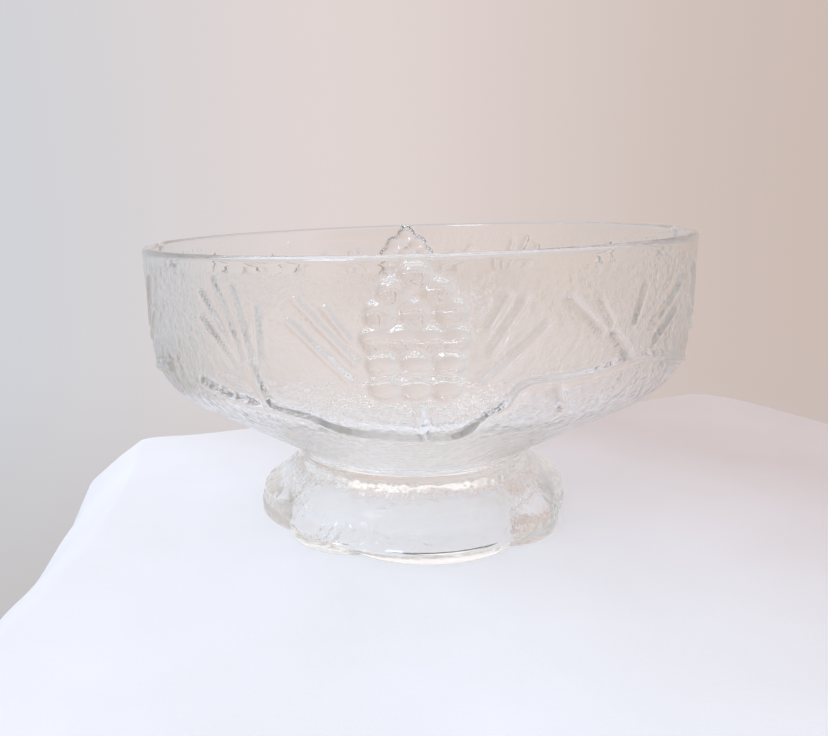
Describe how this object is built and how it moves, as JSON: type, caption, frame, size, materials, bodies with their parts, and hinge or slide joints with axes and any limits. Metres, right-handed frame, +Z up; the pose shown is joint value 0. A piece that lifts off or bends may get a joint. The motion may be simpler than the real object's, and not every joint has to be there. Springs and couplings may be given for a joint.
{
  "type": "punch bowl",
  "caption": "Clear pressed-glass punch bowl with pine cones, needles and a branch in relief, resting on a scalloped glass stand that it lifts off.",
  "frame": {"origin": "centre of the stand's base, on the table", "axes": "+Z up through the middle of the bowl; one pine cone of the bowl faces -Y"},
  "size_m": [0.305, 0.305, 0.16],
  "materials": {
    "bowl_glass": "clear pressed glass, smooth inside, fine pressed grain outside",
    "stand_glass": "clear pressed glass, grained panels over a plain base band"
  },
  "bodies": {
    "stand": {"stand": "stand_glass"},
    "bowl": {"bowl": "bowl_glass"}
  },
  "joints": [
    {"name": "bowl_lift", "type": "slide", "parent": "stand", "child": "bowl", "axis": [0, 0, 1], "range_m": [0, 0.2]}
  ]
}
